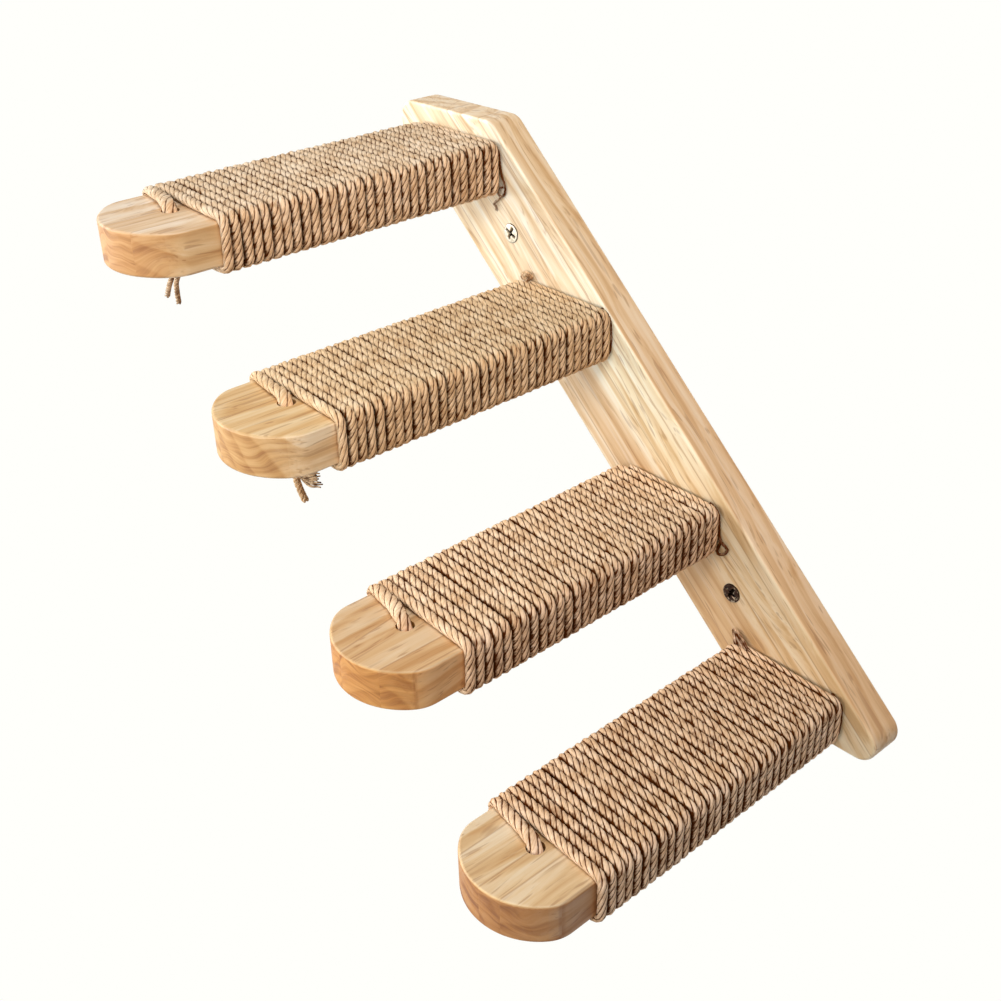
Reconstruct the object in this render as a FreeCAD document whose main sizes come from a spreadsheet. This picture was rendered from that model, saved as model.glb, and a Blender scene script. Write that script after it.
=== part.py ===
"""Cat wall stairs: a slanted wooden wall plate that carries four rope-wound planks.

The wall is the plane Y = 0, with +Y into it, +X to the right and +Z up. The origin is on the plate's
back, midway between the two wall screws. Along the plate means down to the right, across it means up
to the right. Each step has a frame of its own, at the middle of its plank's rear end.
"""

import FreeCAD, Part

import math
import os

import Sketcher

Vector = FreeCAD.Vector
Rotation = FreeCAD.Rotation

# Driving sizes, in millimetres and degrees
SIZES = {
    # the wall plate
    "plate_thick": 24,
    "plate_width": 72,
    "plate_slope": 43,
    "plate_half_rise": 154,
    "plate_low_by": 1,
    "plate_corner_radius": 12,
    "plate_edge_radius": 2,
    # the planks
    "plank_length": 240,
    "plank_width": 72,
    "plank_thick": 24,
    "plank_tip_excess": 4,
    "plank_edge_radius": 1.5,
    "plank_shoulder_radius": 20,
    "rope_hole_dia": 10,
    "rope_hole_from_tip": 38,
    # where each step stands on the plate: the share of its half rise that it is down from the origin
    "step_1_share": -0.837,
    "step_2_share": -0.2879,
    "step_3_share": 0.2879,
    "step_4_share": 0.8525,
    # and how far it is off the plate's middle line
    "step_1_across": -3.5,
    "step_2_across": 2,
    "step_3_across": -6.5,
    "step_4_across": -3.5,
    # the rope and its ends
    "rope_dia": 5.6,
    "rope_clearance": 0.5,
    "rope_bend_excess": 0.1,
    "rope_turns": 24,
    "rope_lean": 1,
    "knot_ring_radius": 4,
    "knot_strand_dia": 3,
    "loop_strand_dia": 3.2,
    "loop_radius": 3.6,
    "loop_leg": 8,
    "loop_seat": 4.5,
    "loop_from_left": 9,
    "loop_on_side": -2.5,
    "strand_dia": 3,
    "strand_spread": 4,
    "tail_dia": 4,
    # the screws into the wall
    "wall_screw_share": 0.56907,
    "wall_screw_length": 50,
    "wall_screw_dia": 6,
    "wall_screw_shank_dia": 4.4,
    "wall_screw_head_dia": 12,
    "wall_screw_head_height": 4,
    "wall_screw_rim": 0.8,
    "wall_screw_sink": 0.6,
    "wall_screw_point": 6,
    "wall_hole_dia": 6.8,
    "recess_length": 6.4,
    "recess_width": 1.5,
    "recess_depth": 2.4,
    # the screws and the dowel behind each step
    "step_screw_inset": 16,
    "step_screw_length": 60,
    "step_screw_dia": 4.5,
    "step_screw_head_dia": 9,
    "step_screw_head_height": 3,
    "step_screw_sink": 0.5,
    "step_screw_point": 5,
    "dowel_dia": 8,
    "dowel_length": 40,
    "dowel_in_plate": 14,
    "dowel_end_space": 1,
    "fit_clearance": 0.1,
    "cut_overrun": 2,
}

STEPS = (1, 2, 3, 4)
# on these steps the small loop by the plate stands on the plank's top, on the others at its right side
TOP_END_STEPS = (2, 4)
SAMPLES_PER_TURN = 60
# an arc of a free rope end takes up this much of the shorter of its two runs
BEND_SHARE = 0.45
# a screw's point narrows to this share of its radius
POINT_SHARE = 0.12

# routes of the free rope ends, in millimetres from the underside of the front knot
STRAND_LEFT_ROUTE = [(0, 0, -0.95), (-3, -0.7, -4.7), (-6.2, -1.1, -8.6), (-9.6, -1, -12.6),
                     (-13.1, -0.5, -16.5), (-16.5, 0.2, -20.4), (-19.7, 1, -24.2)]
STRAND_RIGHT_ROUTE = [(0, 0, -0.95), (-2.6, -0.4, -4.6), (-5.2, -0.9, -8.3), (-7.6, -0.9, -12.1),
                      (-10, 0.3, -16.8), (-12.9, 1.7, -21.7), (-15.6, 3.2, -26.7)]
TAIL_ROUTE = [(0, 0, 0), (0, 0, -6.2), (-1.6, 0.8, -12.2), (-2.4, 1.8, -18), (-0.8, 2.5, -23.8),
              (2.4, 3, -28.9)]

doc = FreeCAD.newDocument("CatWallStairs")
sheet = doc.addObject("Spreadsheet::Sheet", "Sizes")
for row, (alias, value) in enumerate(SIZES.items(), start=1):
    sheet.set(f"A{row}", alias)
    sheet.set(f"B{row}", str(value))
    sheet.setAlias(f"B{row}", alias)
doc.recompute()

nodes = []


def size(alias):
    """A driving size as a number."""
    return float(getattr(sheet, alias))


def bind(thing, **expressions):
    """Ties properties to the sheet; a double underscore stands for a dot."""
    for name, expression in expressions.items():
        thing.setExpression(name.replace("__", "."), expression)
    return thing


def node(thing, label):
    """Marks an object as a sub-part that is written to its own file."""
    thing.Label = label
    nodes.append(thing)
    return thing


def step_place(number):
    """Expressions for the middle of a step's rear end, on the plate's front face."""
    down, across = f"Sizes.step_{number}_share * Sizes.plate_half_rise", f"Sizes.step_{number}_across"
    x = f"{down} / tan(Sizes.plate_slope) + {across} * sin(Sizes.plate_slope)"
    z = f"{across} * cos(Sizes.plate_slope) - {down}"
    return x, "-Sizes.plate_thick", z


def screw_place(side):
    """Expressions for a wall screw's axis on the plate's back; side is -1 for the upper one."""
    down = f"{side} * Sizes.wall_screw_share * Sizes.plate_half_rise"
    return f"{down} / tan(Sizes.plate_slope)", "0", f"-({down})"


def step_screw_x(side):
    """Expression for how far right of its step's middle a step screw is; side is -1 for the left one."""
    return f"{side} * (Sizes.plank_width / 2 - Sizes.step_screw_inset)"


def put(thing, place):
    """Binds an object's position to three expressions."""
    x, y, z = place
    return bind(thing, Placement__Base__x=x, Placement__Base__y=y, Placement__Base__z=z)


def edge_names(shape, wanted):
    """Names of the edges that pass a test."""
    return [f"Edge{number}" for number, edge in enumerate(shape.Edges, start=1) if wanted(edge)]


def level_edge(edge, axis, height):
    """Whether an edge lies in the plane where one coordinate has a given value."""
    low, high = edge.BoundBox.getPoint(0), edge.BoundBox.getPoint(6)
    close = 1e-4
    return abs(low[axis] - height) < close and abs(high[axis] - height) < close


def sketch_on(body, role, name):
    """A new sketch on one of a body's origin planes."""
    sketch = body.newObject("Sketcher::SketchObject", name)
    plane = next(item for item in body.Origin.OriginFeatures if item.Role == role)
    sketch.AttachmentSupport = [(plane, "")]
    sketch.MapMode = "FlatFace"
    return sketch


def constrain(sketch, kind, *arguments, expression=None, name=None):
    """Adds a constraint, and ties it to the sheet where it has an expression."""
    index = sketch.addConstraint(Sketcher.Constraint(kind, *arguments))
    if expression:
        sketch.renameConstraint(index, name)
        sketch.setExpression(f"Constraints.{name}", expression)


def polyline_sketch(sketch, points):
    """Draws a closed outline of lines through the points and joins its corners."""
    count = len(points)
    for index in range(count):
        start, end = Vector(*points[index], 0), Vector(*points[(index + 1) % count], 0)
        sketch.addGeometry(Part.LineSegment(start, end), False)
    for index in range(count):
        constrain(sketch, "Coincident", index, 2, (index + 1) % count, 1)


def circle_on(sketch, name, x, y, diameter):
    """A circle whose centre and diameter follow expressions."""
    first_guess = size("dowel_dia")
    circle = Part.Circle(Vector(0, 0, 0), Vector(0, 0, 1), first_guess / 2)
    index = sketch.addGeometry(circle, False)
    constrain(sketch, "Diameter", index, first_guess, expression=diameter, name=f"{name}_dia")
    constrain(sketch, "DistanceX", -1, 1, index, 3, 0, expression=x, name=f"{name}_x")
    constrain(sketch, "DistanceY", -1, 1, index, 3, 0, expression=y, name=f"{name}_y")


def fillet(body, base, name, edges, radius):
    """Rounds edges of a body's last feature."""
    feature = body.newObject("PartDesign::Fillet", name)
    feature.Base = (base, edges)
    bind(feature, Radius=radius)
    doc.recompute()
    return feature


def pocket(body, sketch, name, depth=None):
    """Cuts a sketch into the solid, or both ways through it where no depth is given."""
    before = body.Shape.Volume
    feature = body.newObject("PartDesign::Pocket", name)
    feature.Profile = sketch
    feature.Reversed = True
    if depth:
        bind(feature, Length=depth)
    else:
        feature.Type = "ThroughAll"
        feature.SideType = "Symmetric"
    doc.recompute()
    assert body.Shape.Volume < before, f"{name} cuts nothing"


def outward(thing):
    """Turns a primitive so that its own Z axis points away from the wall."""
    thing.Placement.Rotation = Rotation(Vector(1, 0, 0), 90)
    return thing


def rod(name, radius, length, place):
    """A cylinder whose axis points away from the wall."""
    cylinder = outward(doc.addObject("Part::Cylinder", name))
    return put(bind(cylinder, Radius=radius, Height=length), place)


def taper(name, near_radius, far_radius, length, place):
    """A cone frustum whose axis points away from the wall."""
    cone = outward(doc.addObject("Part::Cone", name))
    return put(bind(cone, Radius1=near_radius, Radius2=far_radius, Height=length), place)


def fuse(name, shapes):
    """One solid from several overlapping primitives."""
    result = doc.addObject("Part::MultiFuse", name)
    result.Shapes = shapes
    result.Refine = True
    return result


def shifted(place, depth):
    """A place moved away from the wall by an expression."""
    x, y, z = place
    return x, f"{y} - ({depth})", z


def plate_body():
    """The slanted board: level ends, rounded corners and rounded edges."""
    body = doc.addObject("PartDesign::Body", "PlateBoard")
    sketch = sketch_on(body, "XZ_Plane", "PlateOutline")
    slope = math.radians(size("plate_slope"))
    half = size("plate_width") / 2
    rise = size("plate_half_rise") - size("plate_low_by")
    drop = size("plate_half_rise") + size("plate_low_by")

    def corner(side, height):
        return (side * half / math.sin(slope) - height / math.tan(slope), height)

    polyline_sketch(sketch, [corner(-1, rise), corner(1, rise), corner(1, -drop), corner(-1, -drop)])
    top, right, bottom, left = range(4)
    constrain(sketch, "Horizontal", top)
    constrain(sketch, "Horizontal", bottom)
    constrain(sketch, "Parallel", right, left)
    constrain(sketch, "Angle", right, -slope, expression="-Sizes.plate_slope * 1 deg", name="slope")
    constrain(sketch, "DistanceY", -1, 1, top, 1, rise,
              expression="Sizes.plate_half_rise - Sizes.plate_low_by", name="rise")
    constrain(sketch, "DistanceY", bottom, 1, -1, 1, drop,
              expression="Sizes.plate_half_rise + Sizes.plate_low_by", name="drop")
    for line, name in ((right, "half_right"), (left, "half_left")):
        constrain(sketch, "Distance", -1, 1, line, half, expression="Sizes.plate_width / 2", name=name)
    pad = body.newObject("PartDesign::Pad", "PlatePad")
    pad.Profile = sketch
    bind(pad, Length="Sizes.plate_thick")
    doc.recompute()
    depth = size("plate_thick")

    def through(edge):
        return edge.BoundBox.YLength > depth / 2

    def rim(edge):
        return level_edge(edge, 1, 0) or level_edge(edge, 1, -depth)

    corners = fillet(body, pad, "PlateCorners", edge_names(pad.Shape, through), "Sizes.plate_corner_radius")
    fillet(body, corners, "PlateRims", edge_names(corners.Shape, rim), "Sizes.plate_edge_radius")
    return body


def plate_cutters():
    """The holes of the wall screws, the step screws and the dowels."""
    cutters = []
    head = "Sizes.wall_screw_head_dia / 2 + Sizes.fit_clearance"
    cone = "Sizes.wall_screw_head_height - Sizes.wall_screw_rim"
    for side, word in ((-1, "Upper"), (1, "Lower")):
        place = screw_place(side)
        base = "Sizes.plate_thick - Sizes.wall_screw_sink - Sizes.wall_screw_head_height"
        mouth = "Sizes.wall_screw_sink + Sizes.wall_screw_rim"
        cutters += [
            rod(f"{word}Hole", "Sizes.wall_hole_dia / 2", "Sizes.plate_thick + 2 * Sizes.cut_overrun",
                shifted(place, "-Sizes.cut_overrun")),
            taper(f"{word}Sink", "Sizes.wall_hole_dia / 2", head, cone, shifted(place, base)),
            rod(f"{word}Mouth", head, f"{mouth} + Sizes.cut_overrun",
                shifted(place, f"Sizes.plate_thick - ({mouth})")),
        ]
    for number in STEPS:
        x, _, z = step_place(number)
        for side, word in ((-1, "Left"), (1, "Right")):
            place = (f"{x} + {step_screw_x(side)}", "0", z)
            bore = "Sizes.step_screw_dia / 2 + Sizes.fit_clearance"
            wide = "Sizes.step_screw_head_dia / 2 + Sizes.fit_clearance"
            cutters += [
                rod(f"Step{number}{word}Hole", bore, "Sizes.plate_thick + 2 * Sizes.cut_overrun",
                    shifted(place, "-Sizes.cut_overrun")),
                rod(f"Step{number}{word}Mouth", wide, "Sizes.step_screw_sink + Sizes.cut_overrun",
                    shifted(place, "-Sizes.cut_overrun")),
                taper(f"Step{number}{word}Sink", wide, bore, "Sizes.step_screw_head_height",
                      shifted(place, "Sizes.step_screw_sink")),
            ]
        depth = "Sizes.dowel_in_plate + Sizes.dowel_end_space"
        cutters.append(rod(f"Step{number}DowelHole", "Sizes.dowel_dia / 2 + Sizes.fit_clearance",
                           f"{depth} + Sizes.cut_overrun",
                           (x, f"-(Sizes.plate_thick - ({depth}))", z)))
    return cutters


def wall_plate():
    """The board with its holes."""
    holes = doc.addObject("Part::Compound", "PlateHoles")
    holes.Links = plate_cutters()
    cut = doc.addObject("Part::Cut", "WallPlate")
    cut.Base = plate_body()
    cut.Tool = holes
    return node(cut, "wall_plate")


def plank(number):
    """A step's board: square at the wall, an arc at the tip, a rope hole near the tip."""
    body = doc.addObject("PartDesign::Body", f"Plank{number}")
    sketch = sketch_on(body, "XY_Plane", f"PlankOutline{number}")
    half = size("plank_width") / 2
    radius = half + size("plank_tip_excess")
    tip_radius = "(Sizes.plank_width / 2 + Sizes.plank_tip_excess)"
    centre = radius - size("plank_length")
    shoulder = centre - math.sqrt(radius ** 2 - half ** 2)
    opening = math.asin(half / radius)
    rear, right, left, tip = range(4)
    sketch.addGeometry(Part.LineSegment(Vector(-half, 0, 0), Vector(half, 0, 0)), False)
    sketch.addGeometry(Part.LineSegment(Vector(half, 0, 0), Vector(half, shoulder, 0)), False)
    sketch.addGeometry(Part.LineSegment(Vector(-half, shoulder, 0), Vector(-half, 0, 0)), False)
    circle = Part.Circle(Vector(0, centre, 0), Vector(0, 0, 1), radius)
    down = -math.pi / 2
    sketch.addGeometry(Part.ArcOfCircle(circle, down - opening, down + opening), False)
    constrain(sketch, "Coincident", rear, 2, right, 1)
    constrain(sketch, "Coincident", left, 2, rear, 1)
    constrain(sketch, "Coincident", tip, 1, left, 1)
    constrain(sketch, "Coincident", tip, 2, right, 2)
    constrain(sketch, "Vertical", right)
    constrain(sketch, "Vertical", left)
    constrain(sketch, "Symmetric", rear, 1, rear, 2, -1, 1)
    constrain(sketch, "DistanceX", rear, 1, rear, 2, 2 * half, expression="Sizes.plank_width", name="width")
    constrain(sketch, "PointOnObject", tip, 3, -2)
    constrain(sketch, "Radius", tip, radius, expression=tip_radius, name="tip")
    constrain(sketch, "DistanceY", tip, 3, -1, 1, -centre,
              expression=f"Sizes.plank_length - {tip_radius}", name="reach")
    pad = body.newObject("PartDesign::Pad", f"PlankPad{number}")
    pad.Profile = sketch
    pad.SideType = "Symmetric"
    bind(pad, Length="Sizes.plank_thick")
    doc.recompute()
    top = size("plank_thick") / 2

    def shoulder_edge(edge):
        return edge.BoundBox.ZLength > top and not level_edge(edge, 1, 0)

    def long_edge(edge):
        flat = level_edge(edge, 2, top) or level_edge(edge, 2, -top)
        return flat and not level_edge(edge, 1, 0)

    rounded = fillet(body, pad, f"PlankShoulders{number}", edge_names(pad.Shape, shoulder_edge),
                     "Sizes.plank_shoulder_radius")
    fillet(body, rounded, f"PlankEdges{number}", edge_names(rounded.Shape, long_edge),
           "Sizes.plank_edge_radius")
    hole = sketch_on(body, "XY_Plane", f"RopeHole{number}")
    circle_on(hole, "hole", "0", "Sizes.rope_hole_from_tip - Sizes.plank_length", "Sizes.rope_hole_dia")
    pocket(body, hole, f"RopeHoleCut{number}")
    screws = sketch_on(body, "XZ_Plane", f"ScrewHoles{number}")
    bore = "Sizes.step_screw_dia + 2 * Sizes.fit_clearance"
    for side, word in ((-1, "left"), (1, "right")):
        circle_on(screws, word, step_screw_x(side), "0", bore)
    pocket(body, screws, f"ScrewHolesCut{number}",
           "Sizes.step_screw_length + Sizes.step_screw_sink - Sizes.plate_thick + Sizes.cut_overrun")
    dowel = sketch_on(body, "XZ_Plane", f"DowelHole{number}")
    circle_on(dowel, "dowel", "0", "0", "Sizes.dowel_dia + 2 * Sizes.fit_clearance")
    pocket(body, dowel, f"DowelHoleCut{number}",
           "Sizes.dowel_length - Sizes.dowel_in_plate + Sizes.dowel_end_space")
    put(body, step_place(number))
    return node(body, f"step_{number}_plank")


def rounded_path(points, radius_at):
    """A wire of straight runs with a tangent arc at each inner point."""
    edges, last = [], points[0]
    for index in range(1, len(points) - 1):
        before, here, after = points[index - 1], points[index], points[index + 1]
        back, forth = (before - here).normalize(), (after - here).normalize()
        turn = math.pi - back.getAngle(forth)
        radius = radius_at(index, turn)
        cut = radius * math.tan(turn / 2)
        start, end = here + back * cut, here + forth * cut
        middle_way = (back + forth).normalize()
        centre = here + middle_way * (radius / math.cos(turn / 2))
        edges.append(Part.LineSegment(last, start).toShape())
        edges.append(Part.Arc(start, centre - middle_way * radius, end).toShape())
        last = end
    edges.append(Part.LineSegment(last, points[-1]).toShape())
    return Part.Wire(edges)


def tube(wire, diameter):
    """A solid round tube along a wire, with its volume compared with section times length."""
    start = wire.Edges[0]
    section = Part.Wire(Part.Circle(start.valueAt(start.FirstParameter),
                                    start.tangentAt(start.FirstParameter), diameter / 2).toShape())
    solid = wire.makePipeShell([section], True, False)
    expected = wire.Length * math.pi * diameter ** 2 / 4
    assert abs(solid.Volume / expected - 1) < 0.01, "a tube's volume is off"
    return solid


def wrap_front():
    """How far in front of the plate the front edge of the first turn lies."""
    hole = size("plank_length") - size("rope_hole_from_tip")
    return hole - size("knot_ring_radius") - size("knot_strand_dia") / 2 - size("rope_clearance")


def winding_points():
    """Corner points of the rope: up through the hole, then round the plank turn by turn to the plate."""
    dia, gap = size("rope_dia"), size("rope_clearance")
    across = size("plank_width") / 2 + gap + dia / 2
    height = size("plank_thick") / 2 + gap + dia / 2
    first = -(wrap_front() - dia / 2)
    turns = int(size("rope_turns"))
    pitch = (-size("loop_seat") - dia / 2 - first) / turns
    girth = 4 * (across + height)
    corners = [
        (-across, height, 0),
        (-across, -height, 2 * height / girth),
        (across, -height, 2 * (height + across) / girth),
        (across, height, (4 * height + 2 * across) / girth),
    ]
    lean, hole = size("rope_lean"), size("rope_hole_from_tip") - size("plank_length")
    points = [Vector(lean, hole, -size("plank_thick") / 2), Vector(lean, hole, height)]
    for turn in range(turns):
        for x, z, share in corners:
            points.append(Vector(x, first + pitch * (turn + share), z))
    points.append(Vector(-across + 2 * dia, first + pitch * turns, height))
    return points


def least_self_gap(wire, diameter):
    """The narrowest gap between two neighbouring turns of a tube, measured on points of its line."""
    turns = int(size("rope_turns"))
    points = wire.discretize(Number=turns * SAMPLES_PER_TURN)
    apart = SAMPLES_PER_TURN // 2
    reach = SAMPLES_PER_TURN + apart
    nearest = min(points[i].distanceToPoint(points[j])
                  for i in range(len(points))
                  for j in range(i + apart, min(i + reach, len(points))))
    return nearest - diameter


def winding(number):
    """The rope of one step, one unbroken tube."""
    radius = size("rope_dia") + size("rope_bend_excess")
    wire = rounded_path(winding_points(), lambda index, turn: radius)
    rope = doc.addObject("Part::Feature", f"Rope{number}")
    rope.Shape = tube(wire, size("rope_dia"))
    gap = least_self_gap(wire, size("rope_dia"))
    print(f"step {number} rope: {wire.Length:.0f} mm long, bends of {radius:.2f} mm, least gap {gap:.2f} mm")
    put(rope, step_place(number))
    return node(rope, f"step_{number}_rope")


def front_knot(number):
    """The stopper knot under the rope hole: two rings of rope round a core, flat where it seats."""
    hole = "Sizes.rope_hole_from_tip - Sizes.plank_length"
    core = doc.addObject("Part::Cylinder", f"KnotCore{number}")
    bind(core, Radius="Sizes.knot_ring_radius", Height="2 * Sizes.knot_strand_dia")
    put(core, ("Sizes.rope_lean", hole, "-Sizes.plank_thick / 2 - 2 * Sizes.knot_strand_dia"))
    rings = []
    for count, word in ((1, "Upper"), (3, "Lower")):
        ring = doc.addObject("Part::Torus", f"Knot{word}{number}")
        bind(ring, Radius1="Sizes.knot_ring_radius", Radius2="Sizes.knot_strand_dia / 2")
        put(ring, ("Sizes.rope_lean", hole, f"-Sizes.plank_thick / 2 - {count} * Sizes.knot_strand_dia / 2"))
        rings.append(ring)
    knot = fuse(f"FrontKnot{number}", [core] + rings)
    put(knot, step_place(number))
    return node(knot, f"step_{number}_front_knot")


def rear_loop(number):
    """The rope's last end, unlaid and drawn out into a small loop between the winding and the plate."""
    on_top = number in TOP_END_STEPS
    bend = doc.addObject("Part::Torus", f"LoopBend{number}")
    bind(bend, Radius1="Sizes.loop_radius", Radius2="Sizes.loop_strand_dia / 2")
    bend.Angle3 = 180
    middle = "-Sizes.loop_seat / 2"
    on_left = "Sizes.loop_from_left - Sizes.plank_width / 2"
    upright = Rotation(Vector(1, 0, 0), 90)
    sideways = Rotation(Vector(0, 1, 0), 90)
    legs = []
    if on_top:
        seat = "Sizes.plank_thick / 2"
        bend.Placement.Rotation = upright
        put(bend, (on_left, middle, f"{seat} + Sizes.loop_leg"))
    else:
        seat = "Sizes.plank_width / 2"
        bend.Placement.Rotation = sideways.multiply(upright)
        put(bend, (f"{seat} + Sizes.loop_leg", middle, "Sizes.loop_on_side"))
    for side, word in ((-1, "First"), (1, "Second")):
        leg = doc.addObject("Part::Cylinder", f"Loop{word}{number}")
        bind(leg, Radius="Sizes.loop_strand_dia / 2", Height="Sizes.loop_leg")
        if on_top:
            put(leg, (f"{on_left} + {side} * Sizes.loop_radius", middle, seat))
        else:
            leg.Placement.Rotation = sideways
            put(leg, (seat, middle, f"Sizes.loop_on_side + {side} * Sizes.loop_radius"))
        legs.append(leg)
    loop = fuse(f"RearLoop{number}", [bend] + legs)
    put(loop, step_place(number))
    return node(loop, f"step_{number}_rear_loop")


def free_end(number, label, route, diameter, offset):
    """A rope end that hangs free under a front knot."""
    foot = Vector(size("rope_lean") + offset, size("rope_hole_from_tip") - size("plank_length"),
                  -size("plank_thick") / 2 - 2 * size("knot_strand_dia"))
    points = [foot + Vector(*point) for point in route]
    radii = []

    def radius_at(index, turn):
        runs = (points[index].distanceToPoint(points[index - 1]),
                points[index].distanceToPoint(points[index + 1]))
        radii.append(BEND_SHARE * min(runs) / math.tan(turn / 2))
        return radii[-1]

    wire = rounded_path(points, radius_at)
    end = doc.addObject("Part::Feature", f"End_{label}")
    end.Shape = tube(wire, diameter)
    print(f"{label}: {wire.Length:.1f} mm long, radii", ", ".join(f"{radius:.1f}" for radius in radii))
    put(end, step_place(number))
    return node(end, label)


def step_screws(number):
    """The two screws that hold a step, driven from the plate's back."""
    screws = []
    for side, word in ((-1, "Left"), (1, "Right")):
        place = (step_screw_x(side), "Sizes.plate_thick - Sizes.step_screw_sink", "0")
        radius, head = "Sizes.step_screw_dia / 2", "Sizes.step_screw_head_dia / 2"
        straight = "Sizes.step_screw_length - Sizes.step_screw_point"
        screws.append(fuse(f"StepScrew{number}{word}", [
            taper(f"StepHead{number}{word}", head, radius, "Sizes.step_screw_head_height", place),
            rod(f"StepShank{number}{word}", radius, straight, place),
            taper(f"StepPoint{number}{word}", radius, f"{radius} * {POINT_SHARE}", "Sizes.step_screw_point",
                  shifted(place, straight)),
        ]))
    pair = doc.addObject("Part::Compound", f"StepScrews{number}")
    pair.Links = screws
    put(pair, step_place(number))
    return node(pair, f"step_{number}_screws")


def step_dowel(number):
    """The dowel that locates a step on the plate."""
    x, y, z = step_place(number)
    dowel = rod(f"StepDowel{number}", "Sizes.dowel_dia / 2", "Sizes.dowel_length",
                (x, f"{y} + Sizes.dowel_in_plate", z))
    return node(dowel, f"step_{number}_dowel")


def wall_screw(side, word):
    """A screw through the plate into the wall, with a sunk cross-recessed head."""
    place = screw_place(side)
    tail = "Sizes.wall_screw_length - (Sizes.plate_thick - Sizes.wall_screw_sink)"
    thread, shank = "Sizes.wall_screw_dia / 2", "Sizes.wall_screw_shank_dia / 2"
    head = "Sizes.wall_screw_head_dia / 2"
    face = "Sizes.plate_thick - Sizes.wall_screw_sink"
    cone = "Sizes.wall_screw_head_height - Sizes.wall_screw_rim"
    body = fuse(f"WallScrewBlank{word}", [
        taper(f"WallPoint{word}", f"{thread} * {POINT_SHARE}", thread, "Sizes.wall_screw_point",
              shifted(place, f"-({tail})")),
        rod(f"WallThread{word}", thread, f"{tail} - Sizes.wall_screw_point",
            shifted(place, f"-({tail} - Sizes.wall_screw_point)")),
        rod(f"WallShank{word}", shank, face, place),
        taper(f"WallHead{word}", shank, head, cone,
              shifted(place, f"{face} - Sizes.wall_screw_head_height")),
        rod(f"WallRim{word}", head, "Sizes.wall_screw_rim",
            shifted(place, f"{face} - Sizes.wall_screw_rim")),
    ])
    slots = []
    x, y, z = shifted(place, f"{face} + Sizes.cut_overrun")
    for name, wide, tall in (("Level", "length", "width"), ("Upright", "width", "length")):
        slot = doc.addObject("Part::Box", f"Recess{name}{word}")
        bind(slot, Length=f"Sizes.recess_{wide}", Height=f"Sizes.recess_{tall}",
             Width="Sizes.recess_depth + Sizes.cut_overrun")
        put(slot, (f"{x} - Sizes.recess_{wide} / 2", y, f"{z} - Sizes.recess_{tall} / 2"))
        slots.append(slot)
    screw = doc.addObject("Part::Cut", f"WallScrew{word}")
    screw.Base = body
    screw.Tool = fuse(f"Recess{word}", slots)
    return node(screw, f"wall_screw_{word.lower()}")


def build():
    """Makes every sub-part."""
    wall_plate()
    wall_screw(-1, "Upper")
    wall_screw(1, "Lower")
    for number in STEPS:
        plank(number)
        winding(number)
        front_knot(number)
        rear_loop(number)
        step_screws(number)
        step_dowel(number)
    spread = size("strand_spread") / 2
    free_end(1, "step_1_left_strand", STRAND_LEFT_ROUTE, size("strand_dia"), -spread)
    free_end(1, "step_1_right_strand", STRAND_RIGHT_ROUTE, size("strand_dia"), spread)
    free_end(2, "step_2_tail", TAIL_ROUTE, size("tail_dia"), 0)


def write():
    """Checks every object, then writes one file for each sub-part."""
    doc.recompute()
    for thing in doc.Objects:
        assert not {"Invalid", "Error"} & set(thing.State), f"{thing.Label} failed"
    for thing in nodes:
        assert not thing.Shape.isNull() and thing.Shape.isValid(), f"{thing.Label} has no valid shape"
    os.makedirs("parts", exist_ok=True)
    for thing in nodes:
        thing.Shape.exportStep(f"parts/{thing.Label}.step")
        print(f"{thing.Label}: {len(thing.Shape.Solids)} solid(s), {thing.Shape.Volume:.0f} mm3")


build()
write()
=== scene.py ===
"""Looks of the cat wall stairs: wooden plate and planks, laid jute rope, knots, loose ends and screws.

Metres, in the frame's axes: +X right along the wall, +Y into the wall, +Z up. A step's own frame has
its origin at the middle of the plank's rear end, on the plate's front face, in millimetres.
"""

import math

import bpy
import numpy as np
from mathutils import Matrix, Vector


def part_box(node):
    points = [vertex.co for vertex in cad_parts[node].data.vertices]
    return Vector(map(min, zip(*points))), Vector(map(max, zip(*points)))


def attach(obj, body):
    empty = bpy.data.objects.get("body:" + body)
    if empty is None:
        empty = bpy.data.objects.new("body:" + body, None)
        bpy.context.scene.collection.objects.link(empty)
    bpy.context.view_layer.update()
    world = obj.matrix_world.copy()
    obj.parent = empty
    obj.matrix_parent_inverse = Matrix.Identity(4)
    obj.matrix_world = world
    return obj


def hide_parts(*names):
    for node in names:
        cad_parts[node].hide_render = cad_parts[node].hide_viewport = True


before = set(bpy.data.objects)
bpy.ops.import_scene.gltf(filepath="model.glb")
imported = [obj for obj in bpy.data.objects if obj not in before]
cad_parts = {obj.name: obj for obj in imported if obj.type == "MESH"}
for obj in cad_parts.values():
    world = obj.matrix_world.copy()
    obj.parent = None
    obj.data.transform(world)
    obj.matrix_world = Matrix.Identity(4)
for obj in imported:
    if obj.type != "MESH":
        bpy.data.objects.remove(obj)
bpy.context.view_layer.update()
scene = bpy.context.scene

MM = 0.001
STEPS = (1, 2, 3, 4)

# the camera, fitted to the photograph's edges
CAMERA_AT = (0.48384, -0.54836, 0.3521)
CAMERA_AZIMUTH, CAMERA_ELEVATION, CAMERA_ROLL = 48.56, 30.24, -1.42
FOCAL_PX, IMAGE_PX, SENSOR_MM = 1310.4, 1001, 36.0

# the plank and the rope hole, in millimetres of a step's frame
HALF_WIDTH, HALF_THICK = 36.0, 12.0
HOLE_X, HOLE_Y = 1.0, -202.0
PLATE_SLOPE = 43.0

# the rope: its strands and their lay, their radius and distance from its middle, its flattened height, how far its
# middle is from the plank, its bend round the plank's edges, and the distance between its sections
STRANDS, LAY = 5, 28.0
STRAND_RADIUS, STRAND_AT = 1.65, 1.35
TALL = 0.79
ROPE_CENTRE, ROPE_BEND = 2.4, 4.5
SAMPLE = 2.0
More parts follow.
